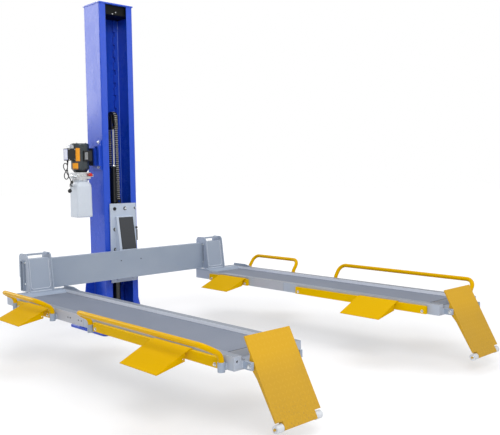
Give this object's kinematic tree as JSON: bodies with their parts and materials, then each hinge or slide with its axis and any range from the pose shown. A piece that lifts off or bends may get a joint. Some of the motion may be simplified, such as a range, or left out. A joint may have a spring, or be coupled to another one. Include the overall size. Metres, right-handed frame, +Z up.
{
  "type": "single post utility vehicle lift",
  "caption": "Single post lift for small vehicles: open channel post with hydraulic chain drive, hooked cross beam, two deck runways, hinged end ramps, side ramps and guard rails.",
  "frame": {"origin": "floor level under the middle of the post, on the underside of the base plate", "axes": "+Z up, -Y from the post along the runways to the drive on end, +X across to the runway on the right of a person facing the post"},
  "size_m": [2.894, 3.4536, 2.936],
  "materials": {
    "black_plastic": "moulded",
    "black_steel": "black enamel and oil",
    "blue_paint": "gloss powder coat",
    "cast_aluminium": "as cast",
    "chrome_rod": "polished chrome plate",
    "cord_rubber": "flexible sheath",
    "grey_paint": "gloss powder coat",
    "motor_paint": "semi gloss enamel",
    "nylon": "turned nylon",
    "red_plastic": "moulded",
    "tank_plastic": "translucent moulded polyethylene",
    "yellow_paint": "gloss powder coat",
    "zinc_steel": "zinc plate"
  },
  "bodies": {
    "stand": {"base_plate": "blue_paint", "column": "blue_paint", "column_cap": "blue_paint", "control_box": "black_plastic", "cord_plug": "cord_rubber", "cylinder_barrel": "black_steel", "foot_gussets": "blue_paint", "latch_rack": "blue_paint", "lowering_lever": "black_plastic", "motor_body": "motor_paint", "motor_cover": "cast_aluminium", "oil_tank": "tank_plastic", "power_cord": "cord_rubber", "pump_block": "cast_aluminium", "terminal_box": "black_plastic", "top_block": "black_steel", "unit_bracket": "blue_paint", "unit_spacer": "black_steel", "valve_knob": "red_plastic"},
    "rod": {"lift_chain": "black_steel", "piston_rod": "chrome_rod", "sheave": "black_steel", "sheave_head": "black_steel"},
    "lift": {"carriage_frame": "grey_paint", "carriage_plate": "grey_paint", "carriage_wedge": "grey_paint", "cross_beam": "grey_paint", "far_bracket": "grey_paint", "far_deck": "grey_paint", "far_guard_rails": "yellow_paint", "far_rail_sockets": "zinc_steel", "far_ramp_hinge": "grey_paint", "far_rear_shelf": "grey_paint", "far_runway_frame": "grey_paint", "far_side_bars": "yellow_paint", "far_side_ramps": "yellow_paint", "lock_release": "black_steel", "near_bracket": "grey_paint", "near_deck": "grey_paint", "near_guard_rails": "yellow_paint", "near_rail_sockets": "zinc_steel", "near_ramp_hinge": "grey_paint", "near_rear_shelf": "grey_paint", "near_runway_frame": "grey_paint", "near_side_bars": "yellow_paint", "near_side_ramps": "yellow_paint", "slide_pads": "nylon", "wedge_panel": "black_steel"},
    "near_ramp": {"near_end_ramp": "yellow_paint", "near_rollers": "nylon"},
    "far_ramp": {"far_end_ramp": "yellow_paint", "far_rollers": "nylon"}
  },
  "joints": [
    {"name": "lift_slide", "type": "slide", "parent": "stand", "child": "lift", "axis": [0, 0, 1], "range_m": [-0.32, 1.575]},
    {"name": "rod_slide", "type": "slide", "parent": "stand", "child": "rod", "axis": [0, 0, 1], "range_m": [-0.16, 0.7875]},
    {"name": "near_ramp_hinge", "type": "hinge", "parent": "lift", "child": "near_ramp", "pos_m": [-0.9505, -3.08, 0.4125], "axis": [1, 0, 0], "range_deg": [-58, 0]},
    {"name": "far_ramp_hinge", "type": "hinge", "parent": "lift", "child": "far_ramp", "pos_m": [0.9505, -3.08, 0.4125], "axis": [1, 0, 0], "range_deg": [-58, 0]}
  ],
  "couplings": [
    {"joint": "rod_slide", "follows": "lift_slide", "ratio": 0.5}
  ]
}
